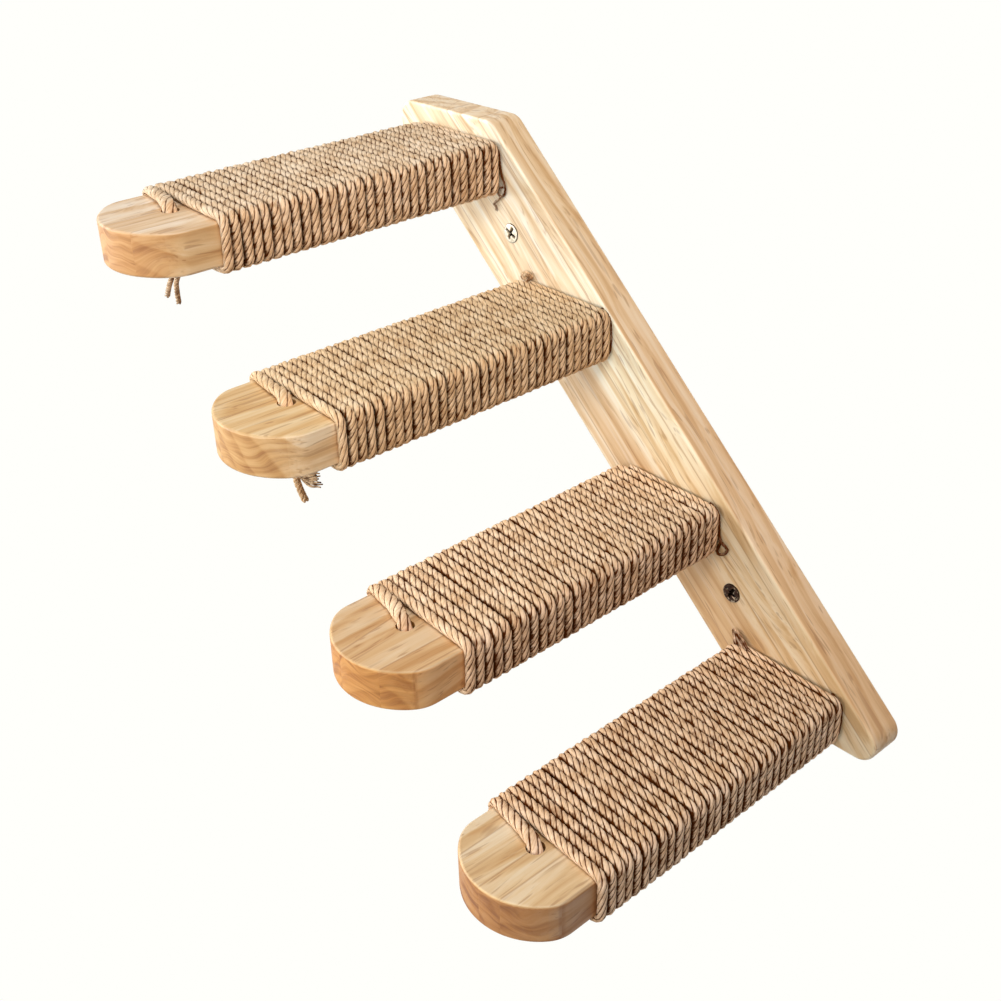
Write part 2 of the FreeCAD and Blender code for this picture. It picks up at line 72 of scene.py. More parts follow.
# points over each strand of the rope's section, as shares of the way from its middle to its groove
STRAND_SHARES = (-1.0, -0.66, -0.22, 0.22, 0.66)
# one twist of a strand's fibres, and how far apart the fibre patterns of two strands are taken
YARN_TWIST, FIBRE_STEP = -14.0, 37.0
# how light the loose yarns, the tail and the rings are beside the rope, as factors on their shade number; the rings'
# low tone paints the strand behind the last turn dark, as the shade in the gap there, and draws the rings dark too
YARN_TONE, TAIL_TONE, RING_AND_SHADOW_TONE = 0.55, 0.8, 0.12
# how many turns each step has, and where the first one crosses the left top edge
TURNS = {1: 30, 2: 32, 3: 30, 4: 31}
FIRST_TURN_Y = {1: -194.5, 2: -197.0, 3: -194.0, 4: -196.0}
LAST_TURN_Y = -5.0
# how much narrower the turns are at the plank's sides
FLANK_GAP = {1: 0.08, 2: 0.1, 3: 0.1, 4: 0.12}
# points on each corner of a turn and on a whole turn; how a turn's advance is shared out: left side, underside,
# right side, top; and the points of its loop between these
CORNER_POINTS, TURN_POINTS = 13, 120
ADVANCE_SHARES = (0.05, 0.2, 0.05, 0.7)
ADVANCE_POINTS = (0, 18, 32, 44, -1)
# the last turn: how far it goes round, how far its top is pressed toward the plate, and how much narrower it gets
# over its last length
LAST_TURN_SHARE, LAST_TURN_PRESS = 0.99, 3.0
LAST_TURN_NARROWER, LAST_TURN_LENGTH = 0.45, 72
# how much wider the rope is before its first turn and in the hole, and how much taller it is in the hole
LEAD_WIDER, HOLE_WIDER, HOLE_TALLER = 0.28, 0.18, 0.85
# how wide a turn is beside its pitch, and how the rope's path, lay, width and height wander: over what length, and
# by how much
TURN_WIDTH = 1.06
PATH_WANDER, LAY_WANDER, WIDTH_WANDER, HEIGHT_WANDER = (36.0, 0.45), (26.0, 0.28), (23.0, 0.09), (21.0, 0.08)
# yarns of a knot under a hole and of one by the plate: how many, their lay, radius and distance from the middle
KNOT_YARNS = (3, 9.0, 0.8, 0.75)
REAR_KNOT_YARNS = (3, 7.0, 0.66, 0.6)
# and of a strand by the plate, as shares of its radius, and of a loose end, as shares of its diameter
RING_YARNS = (3, 7.0, 0.55, 0.5)
LOOSE_YARNS = (4, 11.0, 0.27, 0.25)
# the size and height of those knots, and how far the front one hangs under the plank
KNOT_SIZE, REAR_KNOT_SIZE = (4.0 / 3, 1.5), (1.15, 1.1)
KNOT_DROP = 3.0
# where each kind of piece starts its random numbers
WINDING_SEED, KNOT_SEED, LOOSE_SEED, REAR_SEED = 40, 60, 80, 100

# routes of the free rope ends, from the underside of the front knot, as in the part's source
STRAND_LEFT_ROUTE = [(0, 0, -0.95), (-3, -0.7, -4.7), (-6.2, -1.1, -8.6), (-9.6, -1, -12.6),
                     (-13.1, -0.5, -16.5), (-16.5, 0.2, -20.4), (-19.7, 1, -24.2)]
STRAND_RIGHT_ROUTE = [(0, 0, -0.95), (-2.6, -0.4, -4.6), (-5.2, -0.9, -8.3), (-7.6, -0.9, -12.1),
                      (-10, 0.3, -16.8), (-12.9, 1.7, -21.7), (-15.6, 3.2, -26.7)]
TAIL_ROUTE = [(0, 0, 0), (0, 0, -6.2), (-1.6, 0.8, -12.2), (-2.4, 1.8, -18), (-0.8, 2.5, -23.8),
              (2.4, 3, -28.9)]
KNOT_FOOT_Z = -18.0
# each loose end: its step, name, route, how far it starts beside the hole's middle, diameter and tone
LOOSE_ENDS = (
    (1, "step_1_left_strand", STRAND_LEFT_ROUTE, -2.0, 3.0, YARN_TONE),
    (1, "step_1_right_strand", STRAND_RIGHT_ROUTE, 2.0, 3.0, YARN_TONE),
    (2, "step_2_tail", TAIL_ROUTE, 0.0, 4.0, TAIL_TONE),
)

# the rope's last ends beside the plate, in each step's frame: a dark strand behind the last turn's right flank, which
# paints the shade in the gap between that turn and the plate; on two steps it goes on into a ring or a loop
SHADOW_STRAND = [(31, -1.1, 15), (37.8, -1.1, 13), (38.9, -1.1, 3), (38.9, -1.1, -6), (37.8, -1.1, -13), (31, -1.1, -15)]
SHADOW_STRANDS_AND_RINGS = {
    1: [(31, -1.1, 15), (37.6, -1.1, 13), (38.8, -1.1, 3), (40, -1.2, -4), (43.4, -1.5, -8.7), (43.7, -1.6, -12),
        (42.9, -1.6, -15), (39.9, -1.6, -17), (37, -1.6, -15.9), (36.6, -1.6, -13.5), (38.7, -1.6, -11.2),
        (41.5, -1.6, -10.9)],
    2: SHADOW_STRAND,
    3: [(31, -1.1, 15), (37.8, -1.1, 13), (38.9, -1.1, 3), (39.4, -1.2, -4), (41.6, -1.5, -7), (44.4, -1.6, -7.9),
        (46.8, -1.6, -9.6), (44.9, -1.6, -13.6), (40.9, -1.6, -15.7), (39, -1.6, -14.6), (39.3, -1.6, -11),
        (41.2, -1.7, -7.6)],
    4: SHADOW_STRAND,
}
RING_RADIUS = {1: 0.75, 2: 0.95, 3: 0.95, 4: 0.95}
# the small knot by the plate on step 2
REAR_KNOTS = {2: (-31.0, -3.2, 18.6)}
# frayed bundles by the plate and under the front: their middle line, yarns, yarn radius, half widths at the start and
# the end, and how light they are beside the rope
REAR_FRAYS = {
    1: ([(40.4, -1.8, -16.4), (37.6, -1.8, -18.9), (33.8, -1.8, -21.3), (32.8, -1.8, -23.4), (35.8, -1.8, -24),
         (35.7, -1.8, -26.8)], 3, 0.42, 0.3, 0.7, 0.36),
    4: ([(-29.9, -3.4, 11.8), (-32.6, -3.2, 15.4), (-35.9, -3, 20.1), (-39.3, -2.6, 25.1)], 12, 0.6, 5.0, 1.5, 0.55),
}
# the bundle under step 2's front has a low tone, painted shade under the plank
FRONT_FRAYS = {
    2: ([(3, -202, -17), (4.5, -202.5, -24), (9, -203, -28), (16, -203, -27), (22, -203, -24),
         (27.5, -203, -21.5)], 11, 0.75, 1.6, 4.4, 0.36),
}

# where the glued strips meet across each board, in metres, and how that place shifts along it
PLATE_SEAMS = [(-0.027, 0.0), (0.008, 0.0), (0.028, 0.0)]
PLANK_SEAMS = {
    1: [(-0.003, 0.0), (0.018, 0.0)],
    2: [(-0.022, 0.0), (-0.007, 0.0)],
    3: [(-0.0383, 0.139), (0.020, 0.0), (0.033, 0.0)],
    4: [(-0.022, 0.0), (0.0, 0.0), (0.013, 0.0), (0.035, 0.0)],
}

# where the strips' random numbers start, and how strongly the growth rings show
PLATE_SEED, PLANK_SEEDS = 7, {1: 20, 2: 40, 3: 60, 4: 80}
PLATE_FIGURE, PLANK_FIGURE = 0.3, 0.34
# painted light on the plate: how bright it is, where a change along it starts and ends, in metres, then the brightness
# of its broad faces there and there, and of its narrow faces there and there
PLATE_LIGHT_LEVELS = ((-0.18, 0.1), (1.1, 1.32, 1.66), (0.73, 0.66, 0.58), (0.96, 0.96, 0.99), (0.94, 0.85, 0.81))
# painted light, a pool of brighter light on its front: where it starts and where it fades to a half along the plate,
# where it starts across it, in metres, and its gain
PLATE_LIGHT_POOL = ((-0.12, -0.02), (0.03, 0.12, 1.0, 0.5), (-0.012, 0.012), (1.34, 1.62, 1.9))
# how bright its back is, in place of the front's painted light
PLATE_BACK_LEVEL = (0.95, 0.9, 0.86)
# painted light: how bright the broad and the narrow faces of each plank are
PLANK_LIGHT_LEVELS = {
    1: ((0.83, 0.85, 0.94), (0.84, 0.77, 0.69)),
    2: ((0.755, 0.71, 0.6), (1.03, 1.04, 1.08)),
    3: ((0.695, 0.63, 0.56), (0.76, 0.54, 0.36)),
    4: ((0.75, 0.76, 0.76), (0.55, 0.41, 0.32)),
}
# how much end grain the ends show, and their painted light: how bright they are beside the other faces
PLATE_ENDS = (0.2, (1.12, 1.26, 1.44))
PLANK_ENDS = {
    1: (1.0, (0.93, 0.91, 0.83)),
    2: (1.0, (0.83, 0.82, 0.7)),
    3: (1.0, (1.1, 1.23, 1.05)),
    4: (1.0, (1.17, 1.23, 1.05)),
}

# painted light and shade of each step's rope: how bright it is, its right side beside the rest, the shade numbers at
# which the painted dark brown of its grooves ends and the jute's own colour starts, and how much more painted shade
# the grooves of its right side get
ROPE_LIGHT_LEVELS = {1: (1.055, 1.07, 1.1), 2: (1.04, 1.015, 0.94), 3: (1.105, 1.055, 1.02), 4: (1.06, 0.98, 0.94)}
ROPE_RIGHT_LIGHT = {1: (1.15, 1.0, 0.88), 2: (1.14, 1.01, 0.92), 3: (1.1, 1.01, 0.99), 4: (1.24, 1.24, 1.3)}
ROPE_GROOVE_SHADES = {1: (-0.12, 0.79), 2: (-0.13, 0.78), 3: (0.06, 0.88), 4: (0.18, 0.95)}
ROPE_RIGHT_SHADE = {1: 0.2, 2: 0.19, 3: 0.16, 4: 0.06}

# screws: head radius and height, height of its rim, shank radius, length, point, where the thread starts,
# and the cross recess
WALL_SCREW = (6.0, 5.2, 1.6, 3.0, 51.2, 6.0, 24.6, (4.6, 0.9, 2.4))
STEP_SCREW = (4.5, 3.0, 0.7, 2.25, 60.0, 5.0, 26.0, (2.8, 0.6, 1.8))
# how far the wall screws' heads stand out of the plate, and how far the cross recesses are turned
WALL_SCREW_PROUD = 1.2
WALL_SCREW_SPIN, STEP_SCREW_SPIN = -0.45, 0.7
# a thread's pitch and depth, as shares of the shank's radius
THREAD_PITCH, THREAD_DEPTH = 0.9, 0.24

# soft square lamps: their places, sizes and powers
LAMPS = {
    "left": ((-1.1, -0.9, 0.3), 0.9, 17.3),
    "front": ((0, -1.5, 0.3), 1.0, 10.4),
    "above": ((0.35, -0.35, 0.75), 0.5, 6.8),
    "behind": ((0, 1.5, 0.2), 1.0, 8.0),
}
LAMP_TARGET = (0, -0.1, 0)
STUDIO_COLOUR = (1.0, 0.985, 0.96)
STUDIO_STRENGTH = 0.08
# the floor's half width and height
FLOOR_REACH, FLOOR_LEVEL = 12.0, -0.75
WHITE = (1.0, 1.0, 1.0, 1.0)


def add_camera():
    """The camera at the photograph's place and angle."""
    azimuth, elevation, roll = (math.radians(v) for v in (CAMERA_AZIMUTH, CAMERA_ELEVATION, CAMERA_ROLL))
    flat = math.cos(elevation)
    forward = Vector((-math.sin(azimuth) * flat, math.cos(azimuth) * flat, -math.sin(elevation)))
    right = Vector((math.cos(azimuth), math.sin(azimuth), 0))
    up = right.cross(forward)
    turned_right = right * math.cos(roll) + up * math.sin(roll)
    turned_up = up * math.cos(roll) - right * math.sin(roll)
    data = bpy.data.cameras.new("Camera")
    data.sensor_fit = "HORIZONTAL"
    data.sensor_width = SENSOR_MM
    data.lens = FOCAL_PX / IMAGE_PX * SENSOR_MM
    data.clip_start = 0.01
    camera = bpy.data.objects.new("Camera", data)
    scene.collection.objects.link(camera)
    turn = Matrix((turned_right, turned_up, -forward)).transposed().to_4x4()
    camera.matrix_world = Matrix.Translation(CAMERA_AT) @ turn
    scene.camera = camera


class Graph:
    """A material's nodes, added and linked with short calls."""

    def __init__(self, name, roughness=0.6):
        self.material = bpy.data.materials.new(name)
        self.material.use_nodes = True
        self.tree = self.material.node_tree
        self.shader = self.tree.nodes["Principled BSDF"]
        self.shader.inputs["Roughness"].default_value = roughness

    def set(self, socket, value):
        """Links an output to an input, or sets the input's own value."""
        if isinstance(value, bpy.types.NodeSocket):
            self.tree.links.new(value, socket)
        else:
            socket.default_value = value

    def add(self, kind, inputs, out=0, **settings):
        """A node with its settings and inputs; returns one of its outputs."""
        node = self.tree.nodes.new("ShaderNode" + kind)
        for name, value in settings.items():
            setattr(node, name, value)
        for key, value in inputs.items():
            self.set(node.inputs[key], value)
        return node.outputs[out]

    def maths(self, operation, first, second=0.0, third=0.0):
        return self.add("Math", {0: first, 1: second, 2: third}, operation=operation)

    def vector(self, operation, first, second=(0, 0, 0), third=(0, 0, 0), out=0):
        return self.add("VectorMath", {0: first, 1: second, 2: third}, out, operation=operation)

    def dot(self, first, second):
        return self.vector("DOT_PRODUCT", first, second, out="Value")

    def noise(self, vector, scale, detail=2.0, roughness=0.5):
        return self.add("TexNoise", {"Vector": vector, "Scale": scale, "Detail": detail, "Roughness": roughness})

    def stretched(self, vector, scales, detail=2.0, roughness=0.5):
        """Noise with a scale of its own along each axis."""
        return self.noise(self.vector("MULTIPLY", vector, scales), 1.0, detail, roughness)

    def remap(self, value, low, high, to_low=0.0, to_high=1.0):
        return self.add("MapRange", {0: value, 1: low, 2: high, 3: to_low, 4: to_high},
                        interpolation_type="SMOOTHSTEP")

    def mix(self, share, first, second):
        return self.add("Mix", {0: share, 6: first, 7: second}, 2, data_type="RGBA")

    def weighted(self, *pairs):
        """The sum of values, each times its weight."""
        total = 0.0
        for value, weight in pairs:
            total = self.maths("MULTIPLY_ADD", value, weight, total)
        return total

    def ramp(self, value, stops):
        node = self.tree.nodes.new("ShaderNodeValToRGB")
        self.set(node.inputs[0], value)
        elements = node.color_ramp.elements
        while len(elements) < len(stops):
            elements.new(0.5)
        for element, (place, colour) in zip(elements, stops):
            element.position = place
            element.color = colour
        return node.outputs[0]

    def finish(self, colour, height, strength, distance, roughness=None):
        """Connects colour, bump and roughness to the shader."""
        self.set(self.shader.inputs["Base Color"], colour)
        bump = self.add("Bump", {"Strength": strength, "Distance": distance, "Height": height})
        self.set(self.shader.inputs["Normal"], bump)
        if roughness is not None:
            self.set(self.shader.inputs["Roughness"], roughness)
        return self.material


def srgb(red, green, blue):
    """A colour given as 0 to 255 in sRGB, as linear numbers."""
    def linear(value):
        value /= 255
        return value / 12.92 if value <= 0.04045 else ((value + 0.055) / 1.055) ** 2.4
    return (linear(red), linear(green), linear(blue), 1.0)


def wood_strips(g, along, across, seams, seed):
    """A random colour and tone for each glued strip, and the lines where strips meet."""
    strip, seam = float(seed), 0.0
    for at, tilt in seams:
        off = g.maths("SUBTRACT", across, g.maths("MULTIPLY_ADD", along, tilt, at))
        strip = g.maths("ADD", strip, g.maths("GREATER_THAN", off))
        seam = g.maths("MAXIMUM", seam, g.remap(g.maths("ABSOLUTE", off), 0.0002, 0.0008, 1.0, 0.0))
    picked = g.add("TexWhiteNoise", {"W": strip}, "Color", noise_dimensions="1D")
    return picked, picked.node.outputs["Value"], seam


def wood_rings(g, board, picked, warp):
    """Growth rings about a pith that lies elsewhere for each strip."""
    pith = g.vector("MULTIPLY_ADD", picked, (0, 0.13, 0.05), (0, -0.065, 0.025))
    from_pith = g.vector("MULTIPLY_ADD", board, (0.12, 1, 1), pith)
    reach = g.maths("MULTIPLY_ADD", warp, 0.018, g.vector("LENGTH", from_pith, out="Value"))
    ring = g.maths("FRACT", g.maths("DIVIDE", reach, 0.0095))
    return g.maths("MULTIPLY", g.remap(ring, 0.2, 0.85), g.remap(ring, 0.85, 1.0, 1.0, 0.0))


def wood(name, origin, ways, seams, seed, light_levels, ends, figure, pale=None, back=None):
    """Pale hardwood strips glued edge to edge; ways are its axes along, across and through the board.

    Its brightness, given for its broad and its narrow faces and on the plate changing along it, is painted light and
    shade. The ends are how much end grain they show and their own painted light on top of that; figure is how strongly
    the growth rings show, and pale is a painted pool of brighter light on the front face. The back is the brightness
    of a back face that differs from the front, in place of the front's painted light."""
    g = Graph(name)
    place = g.vector("SUBTRACT", g.add("TexCoord", {}, "Object"), tuple(origin))
    along, across, through = (g.dot(place, way) for way in ways)
    picked, strip_tone, seam = wood_strips(g, along, across, seams, seed)
    board = g.add("CombineXYZ", {0: along, 1: across, 2: through})

    # the grain, which wanders along each strip
    p = g.vector("ADD", board, g.vector("MULTIPLY", picked, (0.9, 0.6, 0.4)))
    warp = g.stretched(p, (6, 22, 22))
    rings = wood_rings(g, board, picked, warp)
    bend = g.maths("MULTIPLY_ADD", warp, 0.046, -0.023)
    p = g.vector("ADD", p, g.add("CombineXYZ", {1: bend, 2: bend}))
    streaks = g.stretched(p, (8, 260, 260), 5.0, 0.62)
    patches = g.stretched(p, (5, 20, 20))
    lines = g.remap(g.stretched(p, (9, 300, 300), 1.0), 0.6, 0.74)
    pores = g.remap(g.stretched(p, (38, 520, 520), 1.0), 0.6, 0.72)
    tone = g.weighted((rings, figure), (g.remap(streaks, 0.25, 0.75), 0.34), (g.remap(patches, 0.25, 0.75), 0.2),
                      (strip_tone, 0.2))
    colour = g.ramp(tone, [(0.14, srgb(246, 226, 196)), (0.5, srgb(231, 197, 152)), (0.9, srgb(203, 156, 101))])
    marks = g.maths("MAXIMUM", g.maths("MULTIPLY", lines, 0.36), g.maths("MULTIPLY", pores, 0.42))
    colour = g.mix(g.maths("MAXIMUM", marks, g.maths("MULTIPLY", seam, 0.4)), colour, srgb(150, 96, 48))

    # end grain, and a painted highlight along the boards' curved edges
    normal = g.add("NewGeometry", {}, "Normal")
    facing = g.dot(normal, ways[2])
    flat_on = g.maths("ABSOLUTE", facing)
    end_share = g.remap(g.maths("ABSOLUTE", g.dot(normal, ways[0])), 0.15, 0.95)
    blotches = g.stretched(p, (20, 15, 280), 4.0, 0.6)
    end_tone = g.weighted((rings, 0.25), (g.remap(blotches, 0.3, 0.7), 0.65))
    end_colour = g.ramp(end_tone, [(0.1, srgb(232, 186, 134)), (0.45, srgb(214, 162, 106)),
                                   (0.95, srgb(160, 102, 52))])
    colour = g.mix(g.maths("MULTIPLY", end_share, ends[0]), colour, end_colour)
    # painted highlight: paler where a face turns from broad to narrow
    edge_highlight = g.maths("MULTIPLY", g.remap(flat_on, 0.2, 0.5), g.remap(flat_on, 0.8, 0.98, 1.0, 0.0))
    colour = g.mix(g.maths("MULTIPLY", edge_highlight, 0.2), colour, srgb(250, 230, 196))

    # painted light: how bright each face is by the way it faces, and on the plate along it
    light_along = g.remap(along, *light_levels[0])
    broad_start, broad_end, narrow_start, narrow_end = ((*level, 1.0) for level in light_levels[1:])
    level = g.mix(g.remap(flat_on, 0.3, 0.85), g.mix(light_along, narrow_start, narrow_end),
                  g.mix(light_along, broad_start, broad_end))
    if back:
        level = g.mix(g.remap(facing, 0.3, 0.85), level, (*back, 1.0))
    colour = g.vector("MULTIPLY", colour, g.mix(end_share, level, g.vector("MULTIPLY", level, ends[1])))
    # painted light: a pool of brighter light on the plate's front
    if pale:
        start, fade, width, gain = pale
        share = g.maths("MULTIPLY", g.remap(along, *start), g.remap(along, *fade))
        share = g.maths("MULTIPLY", share, g.remap(across, *width))
        share = g.maths("MULTIPLY", share, g.remap(facing, -0.85, -0.3, 1.0, 0.0))
        colour = g.vector("MULTIPLY", colour, g.mix(share, WHITE, (*gain, 1.0)))
    height = g.weighted((streaks, 0.5), (pores, -0.7), (seam, -0.8))
    return g.finish(colour, height, 0.25, 0.0003, g.remap(streaks, 0.3, 0.7, 0.42, 0.6))


def jute(name, level, right_light, dark, right_shade):
    """Laid jute: twisted fibres, tan with darker patches, and painted shade in dark brown deep in the grooves.

    The dark is the shade numbers at which that painted brown ends and the tan starts. The level is painted light on
    the whole rope. The faces to the right have painted light of their own and more painted shade in their grooves."""
    g = Graph(name, 0.85)
    g.shader.inputs["Specular IOR Level"].default_value = 0.0
    fibre = g.add("Attribute", {}, "Vector", attribute_name="fibre")
    shade = g.add("Attribute", {}, "Fac", attribute_name="shade")
    lines = g.stretched(fibre, (1500, 1500, 70), 3.0, 0.6)
    hairs = g.stretched(fibre, (4200, 4200, 160))
    place = g.add("TexCoord", {}, "Object")
    patches = g.noise(place, 95.0, 3.0)
    # painted shade made uneven: a noise lightens some grooves and darkens others
    shade = g.maths("ADD", shade, g.maths("MULTIPLY_ADD", g.noise(place, 210.0, 2.0), 1.5, -0.75))
    # painted light and shade on the faces to the right: more painted shade in their grooves, and a brightness of their
    # own
    right = g.remap(g.dot(g.add("NewGeometry", {}, "Normal"), (1, 0, 0)), 0.1, 0.8)
    shade = g.maths("MULTIPLY_ADD", right, -right_shade, shade)
    tone = g.weighted((lines, 0.6), (patches, 0.4))
    colour = g.ramp(tone, [(0.34, srgb(184, 148, 111)), (0.5, srgb(217, 190, 157)), (0.64, srgb(235, 215, 190))])
    # painted shade: dark brown where the shade number is low
    colour = g.mix(g.remap(shade, *dark), srgb(79, 39, 10), colour)
    colour = g.vector("MULTIPLY", colour, g.mix(right, WHITE, (*right_light, 1.0)))
    # painted light: the whole rope's brightness
    colour = g.vector("MULTIPLY", colour, level)
    return g.finish(colour, g.weighted((lines, 1.0), (hairs, 0.5)), 0.55, 0.0004)


def steel(name, dark, middle, bright):
    """Screw steel, worn and slightly stained; on a dark copy the bright end of the ramp paints glints. A low shade
    number paints shade in dark brown.
    """
    g = Graph(name)
    g.shader.inputs["Metallic"].default_value = 1.0
    place = g.add("TexCoord", {}, "Object")
    stains_and_glints = g.noise(place, 420.0, 4.0, 0.6)
    scratches = g.stretched(place, (900, 4000, 2200))
    colour = g.ramp(stains_and_glints, [(0.3, dark), (0.55, middle), (0.75, bright)])
    # painted shade: near black where the screw's shade number is low, in its cross recess and on its rim and cone
    colour = g.mix(g.add("Attribute", {}, "Fac", attribute_name="shade"), srgb(28, 18, 10), colour)
    return g.finish(colour, scratches, 0.2, 0.0001, g.remap(stains_and_glints, 0.3, 0.7, 0.42, 0.26))


def dress(name, material):
    """Gives a CAD node another material."""
    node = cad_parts[name]
    if not node.material_slots:
        node.data.materials.append(material)
    for slot in node.material_slots:
        slot.material = material


def step_origin(number):
    """The middle of a plank's rear end, in metres."""
    low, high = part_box(f"step_{number}_plank")
    return np.array([(low[0] + high[0]) / 2, high[1], (low[2] + high[2]) / 2])


def unit(vectors):
    return vectors / np.maximum(np.linalg.norm(vectors, axis=-1, keepdims=True), 1e-12)


def smoothstep(low, high, value):
    share = np.clip((value - low) / (high - low), 0, 1)
    return share * share * (3 - 2 * share)


def lengths_along(points):
    steps = np.linalg.norm(np.diff(points, axis=0), axis=1)
    return np.concatenate(([0.0], np.cumsum(steps)))


def evenly(points, spacing):
    """The same line with its points evenly spaced."""
    run = lengths_along(points)
    at = np.linspace(0, run[-1], max(4, round(run[-1] / spacing) + 1))
    return np.stack([np.interp(at, run, points[:, axis]) for axis in range(3)], axis=1)


def smooth_line(controls):
    """Points along the NURBS line of some control points."""
    data = bpy.data.curves.new("guide", "CURVE")
    data.dimensions = "3D"
    data.resolution_u = 24
    line = data.splines.new("NURBS")
    line.points.add(len(controls) - 1)
    for point, place in zip(line.points, controls):
        point.co = (*place, 1.0)
    line.order_u = 3
    line.use_endpoint_u = True
    curve = bpy.data.objects.new("guide", data)
    scene.collection.objects.link(curve)
    bpy.context.view_layer.update()
    mesh = bpy.data.meshes.new_from_object(curve)
    points = np.array([vertex.co[:] for vertex in mesh.vertices])
    bpy.data.objects.remove(curve)
    bpy.data.curves.remove(data)
    bpy.data.meshes.remove(mesh)
    return points


def wander(rng, run, spacing, amount):
    """Smooth random numbers along a line."""
    knots = np.arange(0, run[-1] + 2 * spacing, spacing)
    values = rng.uniform(-amount, amount, len(knots))
    places = (run / spacing).astype(int)
    share = run / spacing - places
    share = share * share * (3 - 2 * share)
    return values[places] * (1 - share) + values[places + 1] * share


def carried_normals(points):
    """Normals carried along a line with no twist of their own."""
    ways = unit(np.gradient(points, axis=0))
    start = np.cross(ways[0], (0.31, 0.47, 0.83))
    normals = [start / np.linalg.norm(start)]
    for way in ways[1:]:
        normal = normals[-1] - way * np.dot(normals[-1], way)
        normals.append(normal / np.linalg.norm(normal))
    return np.array(normals)


class Section:
    """The outline of a rope's section: its strands' arcs, which meet in grooves."""

    def __init__(self, strands, at, radius, shares):
        turn = np.append(shares, 1.0) * math.pi / strands
        far = at * np.cos(turn) + np.sqrt(radius ** 2 - (at * np.sin(turn)) ** 2)
        self.strands, self.outer = strands, at + radius
        self.angle = (2 * math.pi * np.arange(strands)[:, None] / strands + turn[None, :-1]).ravel()
        self.far = np.tile(far[:-1], strands)
        self.crown = np.tile(1 - np.abs(np.asarray(shares)), strands)
        in_strand = np.stack([far * np.cos(turn) - at, far * np.sin(turn)], axis=1)
        self.starts, self.ends = np.tile(in_strand[:-1], (strands, 1)), np.tile(in_strand[1:], (strands, 1))
        self.strand = np.repeat(np.arange(strands), len(shares))


